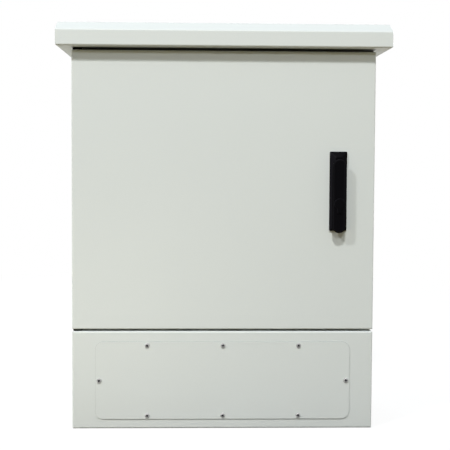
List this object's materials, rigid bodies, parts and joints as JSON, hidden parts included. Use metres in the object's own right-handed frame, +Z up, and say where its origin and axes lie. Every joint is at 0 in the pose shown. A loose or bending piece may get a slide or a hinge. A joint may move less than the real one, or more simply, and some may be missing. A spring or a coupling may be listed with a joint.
{
  "type": "roadside utility cabinet",
  "caption": "Floor-standing sheet steel street cabinet with a hinged door, swing handle and rod lock, hooded rain roof and a plinth with a screwed front cover.",
  "frame": {"origin": "on the ground under the middle of the roof footprint", "axes": "+X to the right seen from the front, +Y to the back, +Z up; the door faces -Y"},
  "size_m": [0.6632, 0.342, 0.807],
  "materials": {
    "paint": "light grey powder coat",
    "bright_zinc": "bright zinc plate",
    "galvanised": "hot-dip galvanised",
    "black_zinc": "black powder coat on die-cast zinc",
    "rubber": "matt",
    "nylon": "moulded black",
    "brass": "bare"
  },
  "bodies": {
    "cabinet": {"plinth_frame": "paint", "plinth_cover": "paint", "plinth_cover_screws": "bright_zinc", "plinth_cover_nuts": "galvanised", "body_wrap": "paint", "body_top": "paint", "body_floor": "paint", "body_bolts": "bright_zinc", "body_nuts": "bright_zinc", "gland_seal": "rubber", "gland_plate": "galvanised", "gland_screws": "bright_zinc", "cable_grommets": "rubber", "mounting_plate": "galvanised", "mounting_studs": "bright_zinc", "mounting_nuts": "bright_zinc", "earth_stud": "brass", "earth_nuts": "brass", "roof": "paint", "roof_rail_front": "galvanised", "roof_rail_rear": "galvanised", "roof_bracket_left": "galvanised", "roof_bracket_right": "galvanised", "roof_bolts": "bright_zinc", "roof_side_screws": "bright_zinc", "hinge_plate_upper": "black_zinc", "hinge_plate_lower": "black_zinc", "hinge_pin_upper": "bright_zinc", "hinge_pin_lower": "bright_zinc", "hinge_washer": "nylon"},
    "door": {"door_panel": "paint", "door_seal": "rubber", "pivot_block_upper": "bright_zinc", "pivot_block_lower": "bright_zinc", "handle_seal": "rubber", "handle_base": "black_zinc", "lock_spacers": "galvanised", "gearbox_case": "galvanised", "gearbox_cover": "galvanised", "lock_screws": "bright_zinc", "rod_guide_upper": "galvanised", "rod_guide_lower": "galvanised"},
    "spindle": {"lock_spindle": "bright_zinc", "pinion": "bright_zinc", "latch_cam": "galvanised", "cam_screw": "bright_zinc"},
    "lever": {"handle_lever": "black_zinc", "lever_pin": "bright_zinc", "dust_rivet": "black_zinc"},
    "dust_cover": {"dust_cover": "black_zinc"},
    "key_cylinder": {"key_cylinder": "bright_zinc"},
    "upper_rod": {"upper_rod": "galvanised", "upper_rod_tip": "nylon"},
    "lower_rod": {"lower_rod": "galvanised", "lower_rod_tip": "nylon"}
  },
  "joints": [
    {"name": "door_hinge", "type": "hinge", "parent": "cabinet", "child": "door", "pos_m": [-0.29, -0.131, 0.476], "axis": [0, 0, -1], "range_deg": [0, 120]},
    {"name": "handle_turn", "type": "hinge", "parent": "door", "child": "spindle", "pos_m": [0.227, -0.149, 0.5245], "axis": [0, 1, 0], "range_deg": [0, 90]},
    {"name": "lever_lift", "type": "hinge", "parent": "spindle", "child": "lever", "pos_m": [0.227, -0.161, 0.5305], "axis": [-1, 0, 0], "range_deg": [0, 45]},
    {"name": "dust_cover_swing", "type": "hinge", "parent": "lever", "child": "dust_cover", "pos_m": [0.227, -0.169, 0.4375], "axis": [0, 1, 0], "range_deg": [0, 110]},
    {"name": "key_turn", "type": "hinge", "parent": "lever", "child": "key_cylinder", "pos_m": [0.227, -0.164, 0.4525], "axis": [0, 1, 0], "range_deg": [0, 90]},
    {"name": "upper_rod_slide", "type": "slide", "parent": "door", "child": "upper_rod", "axis": [0, 0, 1], "range_m": [-0.0166, 0]},
    {"name": "lower_rod_slide", "type": "slide", "parent": "door", "child": "lower_rod", "axis": [0, 0, 1], "range_m": [0, 0.0166]}
  ],
  "couplings": [
    {"joint": "upper_rod_slide", "follows": "handle_turn", "m_per_rad": -0.0105},
    {"joint": "lower_rod_slide", "follows": "handle_turn", "m_per_rad": 0.0105}
  ]
}
